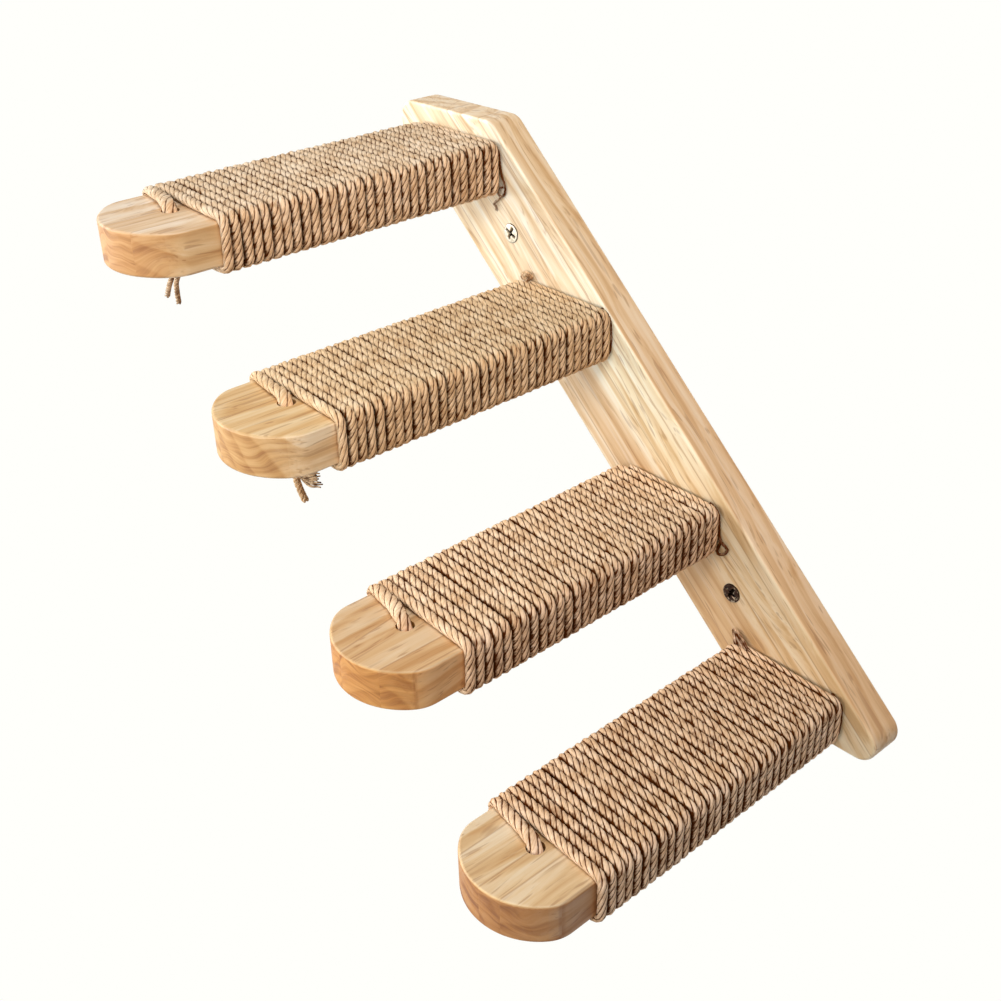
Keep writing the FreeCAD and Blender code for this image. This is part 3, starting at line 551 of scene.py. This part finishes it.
class Tubes:
    """Ropes and yarns gathered into one mesh, with the numbers that the rope's material reads: the fibres' directions,
    and a shade number that paints shade into the creases between strands and between turns.

    Their texture layout has a row for each length ROW of a rope, with a margin between rows."""

    ROW, MARGIN, FILL = 450.0, 0.06, 0.88

    def __init__(self):
        self.points, self.shade, self.quads, self.fibre, self.cells, self.caps = [], [], [], [], [], []
        self.count, self.rows = 0, 0

    def add(self, line, normals, section, turned=0.0, tall=1.0, wide=1.0, bare=None, groove_share=0.95, tone=1.0):
        """One rope along a line. Its shade number paints shade along the lines where its strands meet, and on a
        winding's flanks where turns meet; bare is how little of that flank shade its front flank has along the line,
        and only a winding has it. The tone scales the shade number."""
        ways = unit(np.gradient(line, axis=0))
        outward = unit(normals - ways * np.sum(normals * ways, axis=1, keepdims=True))
        beside = np.cross(ways, outward)
        run = lengths_along(line)
        rings, sides = len(line), len(section.angle)
        angle = section.angle[None, :] + np.broadcast_to(turned, run.shape)[:, None]
        up = section.far * np.cos(angle) * np.broadcast_to(tall, run.shape)[:, None]
        aside = section.far * np.sin(angle) * np.broadcast_to(wide, run.shape)[:, None]
        ring_points = line[:, None] + up[..., None] * outward[:, None] + aside[..., None] * beside[:, None]
        self.points.append(ring_points.reshape(-1, 3))
        # painted shade: darker along the lines where the strands meet
        shade = 1 - groove_share * smoothstep(0.36, 0.0, section.crown)[None, :] * np.ones((rings, 1))
        # painted shade on a winding's flanks where the turns meet, less on the open front flank of its first turn
        if bare is not None:
            height = section.far * np.cos(angle) / section.outer
            front = smoothstep(0.0, 0.4, -np.sin(angle) * beside[:, 1:2])
            shade = shade * (1 - smoothstep(0.84, 0.22, height) * (1 - bare[:, None] * front))
        self.shade.append(tone * shade.ravel())

        ring = self.count + np.arange(rings - 1)[:, None] * sides
        corner, after = np.arange(sides), (np.arange(sides) + 1) % sides
        quads = np.stack([ring + corner, ring + after, ring + sides + after, ring + sides + corner], axis=2)
        self.quads.append(quads.reshape(-1, 4))
        first, last = self.count + corner[::-1], self.count + (rings - 1) * sides + corner
        self.caps += [first, last]

        twist = 2 * math.pi * run / YARN_TWIST
        spun = np.stack([np.stack([np.cos(twist), np.sin(twist)], 1), np.stack([-np.sin(twist), np.cos(twist)], 1)], 1)
        lift = run[:, None] + FIBRE_STEP * (section.strand[None, :] + self.rows)
        starts = np.concatenate([section.starts @ spun, lift[..., None]], axis=2)
        ends = np.concatenate([section.ends @ spun, lift[..., None]], axis=2)
        corners = np.stack([starts[:-1], ends[:-1], ends[1:], starts[1:]], axis=2)
        self.fibre.append(corners.reshape(-1, 3))

        row = (run[:-1] // self.ROW).astype(int)
        start, end = run[:-1] - row * self.ROW, run[1:] - row * self.ROW
        u = np.stack([start, start, end, end], axis=1) / (self.ROW + run[1] - run[0])
        v = np.stack([corner, corner + 1, corner + 1, corner], axis=1) / sides
        down = (row + self.rows)[:, None, None] + self.MARGIN + self.FILL * v[None]
        self.cells.append(np.stack([np.repeat(u[:, None], sides, axis=1), down], axis=3).reshape(-1, 2))
        self.rows += int(row[-1]) + 1
        self.count += rings * sides

    def make(self, name, material, origin):
        """The finished piece, moved from a step's millimetres to the frame's metres."""
        points = np.concatenate(self.points) * MM + origin
        quads = np.concatenate(self.quads)
        caps = np.concatenate(self.caps)
        sizes = np.concatenate([np.full(len(quads), 4), [len(cap) for cap in self.caps]]).astype(int)
        mesh = bpy.data.meshes.new(name)
        mesh.vertices.add(len(points))
        mesh.vertices.foreach_set("co", points.ravel())
        mesh.loops.add(quads.size + caps.size)
        mesh.loops.foreach_set("vertex_index", np.concatenate([quads.ravel(), caps]))
        mesh.polygons.add(len(sizes))
        mesh.polygons.foreach_set("loop_start", np.concatenate([[0], np.cumsum(sizes)[:-1]]))
        mesh.polygons.foreach_set("use_smooth", sizes == 4)
        fibre = np.concatenate(self.fibre + [np.zeros((caps.size, 3))]) * MM
        mesh.attributes.new("fibre", "FLOAT_VECTOR", "CORNER").data.foreach_set("vector", fibre.ravel())
        mesh.attributes.new("shade", "FLOAT", "POINT").data.foreach_set("value", np.concatenate(self.shade))
        turn = np.concatenate([np.arange(len(cap)) * 2 * math.pi / len(cap) for cap in self.caps])
        count = np.repeat(np.arange(len(self.caps)), [len(cap) for cap in self.caps])
        spot = (count + 0.5 + 0.3 * np.cos(turn)) / len(self.caps)
        cells = np.concatenate(self.cells + [np.stack([spot, self.rows + 0.5 + 0.3 * np.sin(turn)], axis=1)])
        cells[:, 1] /= self.rows + 1
        mesh.uv_layers.new(name="OFBake").data.foreach_set("uv", cells.ravel())
        mesh.update()
        mesh.validate()
        mesh.materials.append(material)
        piece = bpy.data.objects.new(name, mesh)
        scene.collection.objects.link(piece)
        return piece


def finish_piece(piece, slot, *nodes):
    """What every new piece of the object gets."""
    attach(piece, "root")
    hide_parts(*nodes)


def yarn_section(radius, sides=7):
    """A plain round yarn."""
    return Section(1, 0.0, radius, np.arange(sides) * 2 / sides - 1)


def lay_yarns(tubes, line, rng, yarns, lay, radius, at, tone=YARN_TONE, open_end=None):
    """Adds yarns twisted about a line; open_end, from 0 to 1 along it, lets them part and thin."""
    run = lengths_along(line)
    outward = carried_normals(line)
    beside = np.cross(unit(np.gradient(line, axis=0)), outward)
    open_end = np.zeros_like(run) if open_end is None else open_end
    start = rng.uniform(0, 2 * math.pi)
    for yarn in range(yarns):
        angle = start + 2 * math.pi * (run / lay + yarn / yarns) + wander(rng, run, 6.0, 0.2)
        away = np.cos(angle)[:, None] * outward + np.sin(angle)[:, None] * beside
        middle = line + away * (at * (1 + 0.35 * open_end))[:, None]
        size = 1 - 0.3 * open_end
        tubes.add(middle, away, yarn_section(radius), 0.0, size, size, groove_share=0.0, tone=tone)


def section_loop():
    """One turn's line round the plank, from the top's left end: left side, underside, right side, top."""
    half_x, half_z = HALF_WIDTH + ROPE_CENTRE, HALF_THICK + ROPE_CENTRE
    loop = []
    for side_x, side_z, start in ((-1, 1, 90), (-1, -1, 180), (1, -1, 270), (1, 1, 0)):
        for step in range(CORNER_POINTS):
            angle = math.radians(start + 90 * step / (CORNER_POINTS - 1))
            loop.append((side_x * (half_x - ROPE_BEND) + ROPE_BEND * math.cos(angle), 0.0,
                         side_z * (half_z - ROPE_BEND) + ROPE_BEND * math.sin(angle)))
    loop.append(loop[0])
    return np.array(loop)


def winding_line(number, rng):
    """The middle line of a step's rope from its hole to the plate, its pitch, and its lead's length."""
    loop = section_loop()
    run = lengths_along(loop)
    first, turns = FIRST_TURN_Y[number], TURNS[number]
    pitch = (LAST_TURN_Y - first) / (turns + sum(ADVANCE_SHARES[:3]))
    corners = run[list(ADVANCE_POINTS)]
    gains = np.concatenate(([0.0], np.cumsum(ADVANCE_SHARES)))
    at = np.arange(0, turns + LAST_TURN_SHARE, 1 / TURN_POINTS)
    whole, share = np.floor(at), at % 1
    top_from = corners[3] / run[-1]
    last_top = np.clip((at - turns - top_from) / (1 - top_from), 0, 1)
    x = np.interp(share * run[-1], run, loop[:, 0])
    z = np.interp(share * run[-1], run, loop[:, 2])
    y = first + pitch * (whole + np.interp(share * run[-1], corners, gains))
    turned = np.stack([x, np.minimum(y, LAST_TURN_Y) + LAST_TURN_PRESS * last_top, z], axis=1)
    level = HALF_THICK + ROPE_CENTRE
    lead = smooth_line([(0, HOLE_Y, -HALF_THICK), (0, HOLE_Y, 2), (-0.2, HOLE_Y + 0.1, HALF_THICK + 1),
                        (-6.5, HOLE_Y + 1.6, level + 0.8), (-14, first - 3.0, level + 0.1), (-22, first - 1.8, level),
                        (-29, first - 0.8, level), (turned[0][0] + 0.5, first, level)])
    line = evenly(np.concatenate([lead, turned]), SAMPLE)
    along = lengths_along(line)
    free = smoothstep(-200, -190, line[:, 1]) * smoothstep(-3, -10, line[:, 1])
    line[:, 1] += wander(rng, along, *PATH_WANDER) * free
    return line, pitch, lengths_along(lead)[-1]


def add_winding(number, material):
    """The rope of one step."""
    rng = np.random.RandomState(WINDING_SEED + number)
    line, pitch, lead = winding_line(number, rng)
    run = lengths_along(line)
    outward = np.cross((0.0, 1.0, 0.0), unit(np.gradient(line, axis=0)))
    pace = 1 / (LAY * (1 + wander(rng, run, *LAY_WANDER)))
    turned = 2 * math.pi * np.concatenate(([0.0], np.cumsum(pace[1:] * np.diff(run))))
    section = Section(STRANDS, STRAND_AT, STRAND_RADIUS, STRAND_SHARES)
    on_lead = smoothstep(lead + 8, lead - 10, run)
    in_hole = smoothstep(HALF_THICK + 1.5, HALF_THICK - 3, line[:, 2]) * (run < lead / 2)
    full = pitch / 2 / section.outer
    flank = smoothstep(0.4, 1.0, np.abs(outward[:, 0]))
    wide = full * (TURN_WIDTH - FLANK_GAP[number] * flank + wander(rng, run, *WIDTH_WANDER))
    wide = wide * (1 + LEAD_WIDER * on_lead + HOLE_WIDER * in_hole)
    wide = wide * (1 - LAST_TURN_NARROWER * np.clip((run - run[-1]) / LAST_TURN_LENGTH + 1, 0, 1))
    tall = TALL * (1 + wander(rng, run, *HEIGHT_WANDER)) * (1 + HOLE_TALLER * in_hole)
    tubes = Tubes()
    first_end = lead + lengths_along(section_loop())[-1]
    tubes.add(line, outward, section, turned, tall, wide, smoothstep(first_end + 6, first_end - 6, run))
    piece = tubes.make(f"step_{number}_jute_winding", material, step_origin(number))
    finish_piece(piece, "rope", f"step_{number}_rope")


def add_fray(tubes, rng, controls, yarns, radius, start, end, tone):
    """A flat bundle of loose yarns, with its half widths at the start and the end."""
    line = evenly(smooth_line(controls), 0.7)
    run = lengths_along(line)
    share = run / run[-1]
    across = unit(np.cross(unit(np.gradient(line, axis=0)), (0.0, 1.0, 0.0)))
    half = start + (end - start) * smoothstep(0.1, 1.0, share)
    for yarn in range(yarns):
        place = yarn / (yarns - 1) * 2 - 1
        kept = round(len(line) * rng.uniform(0.84, 1.0))
        middle = line + across * (place * half + wander(rng, run, 5.0, 0.4))[:, None]
        middle[:, 1] += wander(rng, run, 6.0, 0.5) + rng.uniform(-0.5, 0.5)
        size = (1 - 0.5 * smoothstep(0.5, 1.0, share))[:kept]
        tubes.add(middle[:kept], across[:kept], yarn_section(radius, 6), 0.0, size, size, groove_share=0.0,
                  tone=tone * rng.uniform(0.5, 1.4))


def knot_line(size, thick, middle):
    """An overhand knot's closed line, flat on the XY plane, about a middle point."""
    t = np.linspace(0, 2 * math.pi, 90)
    line = np.stack([size * (np.sin(t) + 2 * np.sin(2 * t)), size * (np.cos(t) - 2 * np.cos(2 * t)),
                     thick * np.sin(3 * t)], axis=1)
    return evenly(line, 0.7) + middle


def add_knot(number, material):
    """The overhand knot under a rope hole, and on one step a frayed end beside it."""
    rng = np.random.RandomState(KNOT_SEED + number)
    line = knot_line(*KNOT_SIZE, (HOLE_X, HOLE_Y, -HALF_THICK - KNOT_DROP))
    tubes = Tubes()
    lay_yarns(tubes, line, rng, *KNOT_YARNS)
    if number in FRONT_FRAYS:
        add_fray(tubes, rng, *FRONT_FRAYS[number])
    piece = tubes.make(f"step_{number}_overhand_knot", material, step_origin(number))
    finish_piece(piece, "rope", f"step_{number}_front_knot")


def add_free_end(number, label, route, offset, diameter, tone, material):
    """A loose rope end under a front knot: yarns laid along the route's NURBS line."""
    rng = np.random.RandomState(LOOSE_SEED + number + len(label))
    foot = np.array([HOLE_X + offset, HOLE_Y, KNOT_FOOT_Z])
    line = evenly(smooth_line([tuple(foot + point) for point in route]), 0.6)
    run = lengths_along(line)
    tubes = Tubes()
    yarns, lay, radius, at = LOOSE_YARNS
    lay_yarns(tubes, line, rng, yarns, lay, diameter * radius, diameter * at, tone,
              smoothstep(0.8, 1.0, run / run[-1]))
    origin = step_origin(number)
    piece = tubes.make(label + "_yarns", material, origin)
    finish_piece(piece, "rope", label)


def add_rear_end(number, material):
    """The rope's last end by the plate: a dark strand that paints the shade behind the last turn, on two steps going
    on into a ring, and on some steps a small knot or a frayed bundle beside it.
    """
    rng = np.random.RandomState(REAR_SEED + number)
    tubes = Tubes()
    yarns, lay, radius, at = RING_YARNS
    size = RING_RADIUS[number]
    line = evenly(smooth_line(SHADOW_STRANDS_AND_RINGS[number]), 0.5)
    # painted shade: the strand's low tone draws the gap behind the last turn dark
    lay_yarns(tubes, line, rng, yarns, lay, size * radius, size * at, RING_AND_SHADOW_TONE)
    if number in REAR_KNOTS:
        flat = knot_line(*REAR_KNOT_SIZE, (0.0, 0.0, 0.0))
        upright = np.stack([flat[:, 0], flat[:, 2], flat[:, 1]], axis=1) + REAR_KNOTS[number]
        lay_yarns(tubes, upright, rng, *REAR_KNOT_YARNS)
    if number in REAR_FRAYS:
        add_fray(tubes, rng, *REAR_FRAYS[number])
    piece = tubes.make(f"step_{number}_rope_end_and_shadow_strand", material, step_origin(number))
    finish_piece(piece, "rope", f"step_{number}_rear_loop")


def screw_mesh(head_radius, head_height, rim_height, shank_radius, length, point, thread_from, recess, segments=64):
    """Points, faces and painted shade numbers of a countersunk cross-head screw along -Z, its face at the origin."""
    face = [(r, 0.0) for r in np.linspace(0.02, head_radius * 0.94, 22)]
    rim = [(head_radius, -0.15), (head_radius, -rim_height)]
    cone = [(shank_radius, -head_height)]
    shank = [(shank_radius, -z) for z in np.arange(head_height + 0.5, length - point, 0.3)]
    tip = [(shank_radius * (1 - 0.88 * t), -(length - point + point * t)) for t in np.linspace(0.05, 1, 14)]
    profile = np.array(face + rim + cone + shank + tip + [(0.02, -length)])
    angle = np.arange(segments) * 2 * math.pi / segments
    radius = np.repeat(profile[:, :1], segments, axis=1)
    height = np.repeat(profile[:, 1:], segments, axis=1)
    across, upright = radius * np.cos(angle), radius * np.sin(angle)
    arm, half, depth = recess

    def slot(u, v):
        return smoothstep(half + 0.12, half - 0.12, np.abs(u)) * smoothstep(arm, arm * 0.82, np.abs(v))

    on_face = np.arange(len(profile))[:, None] < len(face)
    height = height - np.where(on_face, depth * np.maximum(slot(across, upright), slot(upright, across)), 0)
    height = height + np.where(on_face, 0.25 * (1 - (radius / head_radius) ** 2), 0)
    pitch = shank_radius * THREAD_PITCH
    ridge = np.abs(((-height / pitch - angle / (2 * math.pi)) % 1) - 0.5) * 2
    threaded = (-height > thread_from) & ~on_face
    radius = np.where(threaded, radius * (1 - THREAD_DEPTH * smoothstep(0.25, 0.9, ridge)), radius)
    points = np.stack([radius * np.cos(angle), radius * np.sin(angle), height], axis=2).reshape(-1, 3)
    rows, corner = np.arange(len(profile) - 1)[:, None] * segments, np.arange(segments)
    after = (corner + 1) % segments
    quads = np.stack([rows + corner, rows + segments + corner, rows + segments + after, rows + after], axis=2)
    last = (len(profile) - 1) * segments + corner[::-1]
    # painted shade: dark deep in the cross recess and towards the head's edge, and all dark on the rim and the cone
    # below it
    unshaded_face = smoothstep(-0.9, -0.2, height) * smoothstep(head_radius * 1.01, head_radius * 0.94, radius)
    shade = np.where(on_face, unshaded_face, np.where(radius > shank_radius * 1.1, 0.0, 1.0))
    return points, quads.reshape(-1, 4).tolist() + [corner.tolist(), last.tolist()], shade.ravel()


def add_screws(name, node, places, out, sizes, spin, material):
    """Screws with their heads' faces at the places; out is 1 where the head faces away from the wall."""
    screw, screw_faces, shade = screw_mesh(*sizes)
    turn = np.array([[math.cos(spin), -math.sin(spin), 0], [math.sin(spin), math.cos(spin), 0], [0, 0, 1]])
    screw = screw @ turn.T
    placed = np.stack([screw[:, 0], -out * screw[:, 2], out * screw[:, 1]], axis=1) * MM
    points, faces = [], []
    for place in places:
        faces += [[corner + len(points) for corner in face] for face in screw_faces]
        points += (placed + place).tolist()
    mesh = bpy.data.meshes.new(name)
    mesh.from_pydata(points, [], faces)
    mesh.polygons.foreach_set("use_smooth", np.ones(len(mesh.polygons), bool))
    mesh.attributes.new("shade", "FLOAT", "POINT").data.foreach_set("value", np.tile(shade, len(places)))
    mesh.materials.append(material)
    piece = bpy.data.objects.new(name, mesh)
    scene.collection.objects.link(piece)
    finish_piece(piece, "screw_steel", node)


def light_path_share(tree):
    """1 for rays that the camera, a gloss or glass sends, else 0."""
    path = tree.nodes.new("ShaderNodeLightPath")
    first = tree.nodes.new("ShaderNodeMath")
    first.operation = "MAXIMUM"
    tree.links.new(path.outputs["Is Camera Ray"], first.inputs[0])
    tree.links.new(path.outputs["Is Glossy Ray"], first.inputs[1])
    both = tree.nodes.new("ShaderNodeMath")
    both.operation = "MAXIMUM"
    tree.links.new(first.outputs[0], both.inputs[0])
    tree.links.new(path.outputs["Is Transmission Ray"], both.inputs[1])
    return both.outputs[0]


def mix_when_seen(tree, lit, plain, output):
    """Shows the plain shader to the camera and the lit one to the rays that light the object."""
    mix = tree.nodes.new("ShaderNodeMixShader")
    tree.links.new(light_path_share(tree), mix.inputs[0])
    tree.links.new(lit, mix.inputs[1])
    tree.links.new(plain, mix.inputs[2])
    tree.links.new(mix.outputs[0], tree.nodes[output].inputs[0])


def add_stage():
    """A pale floor far below, and a white surrounding that lights the object softly."""
    backdrop = srgb(255, 255, 251)
    mesh = bpy.data.meshes.new("floor")
    corners = [(x * FLOOR_REACH, y * FLOOR_REACH, FLOOR_LEVEL) for x, y in ((-1, -1), (1, -1), (1, 1), (-1, 1))]
    mesh.from_pydata(corners, [], [(0, 1, 2, 3)])
    floor = bpy.data.objects.new("floor", mesh)
    scene.collection.objects.link(floor)
    material = bpy.data.materials.new("floor_white")
    material.use_nodes = True
    tree = material.node_tree
    shader = tree.nodes["Principled BSDF"]
    shader.inputs["Base Color"].default_value = (0.86, 0.86, 0.84, 1)
    shader.inputs["Roughness"].default_value = 0.9
    glow = tree.nodes.new("ShaderNodeEmission")
    glow.inputs["Color"].default_value = backdrop
    mix_when_seen(tree, shader.outputs[0], glow.outputs[0], "Material Output")
    mesh.materials.append(material)

    world = bpy.data.worlds.new("studio")
    world.use_nodes = True
    scene.world = world
    tree = world.node_tree
    soft = tree.nodes["Background"]
    soft.inputs["Color"].default_value = (*STUDIO_COLOUR, 1)
    soft.inputs["Strength"].default_value = STUDIO_STRENGTH
    white = tree.nodes.new("ShaderNodeBackground")
    white.inputs["Color"].default_value = backdrop
    mix_when_seen(tree, soft.outputs[0], white.outputs[0], "World Output")


def add_lamps():
    """Soft square lamps that face the object."""
    for name, (place, size, power) in LAMPS.items():
        data = bpy.data.lights.new(name, "AREA")
        data.shape = "SQUARE"
        data.size = size
        data.energy = power
        data.color = STUDIO_COLOUR
        lamp = bpy.data.objects.new(name, data)
        lamp.location = place
        lamp.rotation_euler = (Vector(LAMP_TARGET) - Vector(place)).to_track_quat("-Z", "Y").to_euler()
        scene.collection.objects.link(lamp)


add_camera()
add_stage()
add_lamps()
scene.view_settings.view_transform = "Standard"

slope = math.radians(PLATE_SLOPE)
plate_ways = ((math.cos(slope), 0, -math.sin(slope)), (math.sin(slope), 0, math.cos(slope)), (0, 1, 0))
dress("wall_plate", wood("plate_wood", (0, 0, 0), plate_ways, PLATE_SEAMS, PLATE_SEED, PLATE_LIGHT_LEVELS, PLATE_ENDS,
                         PLATE_FIGURE, PLATE_LIGHT_POOL, PLATE_BACK_LEVEL))
plank_ways = ((0, -1, 0), (1, 0, 0), (0, 0, 1))
# each plank gets its own copy of the wood: its own strips, and its own painted light
for number in STEPS:
    broad, narrow = PLANK_LIGHT_LEVELS[number]
    material = wood(f"plank_wood_{number}", step_origin(number), plank_ways, PLANK_SEAMS[number], PLANK_SEEDS[number],
                    ((0.0, 0.2), broad, broad, narrow, narrow), PLANK_ENDS[number], PLANK_FIGURE)
    dress(f"step_{number}_plank", material)
    dress(f"step_{number}_dowel", material)

# each step's rope gets its own copy of the jute, with its own painted light and shade
ropes = {number: jute(f"jute_rope_{number}", ROPE_LIGHT_LEVELS[number], ROPE_RIGHT_LIGHT[number], ROPE_GROOVE_SHADES[number],
                      ROPE_RIGHT_SHADE[number]) for number in STEPS}
for number in STEPS:
    add_winding(number, ropes[number])
    add_knot(number, ropes[number])
    add_rear_end(number, ropes[number])
for number, *loose_end in LOOSE_ENDS:
    add_free_end(number, *loose_end, ropes[number])

# one steel in two copies: the upper wall screw and the step screws take the light copy; the lower wall screw's darker
# copy is painted shade, and the bright end of its ramp paints glints
plated = steel("plated_steel", srgb(190, 175, 150), srgb(235, 225, 205), srgb(250, 245, 235))
steel_in_shade = steel("steel_shaded_copy", srgb(34, 22, 18), srgb(66, 46, 36), srgb(225, 205, 175))
for word, metal in (("upper", plated), ("lower", steel_in_shade)):
    low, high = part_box(f"wall_screw_{word}")
    place = np.array([(low[0] + high[0]) / 2, low[1] - WALL_SCREW_PROUD * MM, (low[2] + high[2]) / 2])
    add_screws(f"wall_screw_{word}_threaded", f"wall_screw_{word}", [place], 1, WALL_SCREW,
               WALL_SCREW_SPIN, metal)
for number in STEPS:
    low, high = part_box(f"step_{number}_screws")
    middle_z = (low[2] + high[2]) / 2
    inset = STEP_SCREW[0] * MM
    places = [np.array([x, high[1], middle_z]) for x in (low[0] + inset, high[0] - inset)]
    add_screws(f"step_{number}_screw_pair", f"step_{number}_screws", places, -1, STEP_SCREW,
               STEP_SCREW_SPIN, plated)
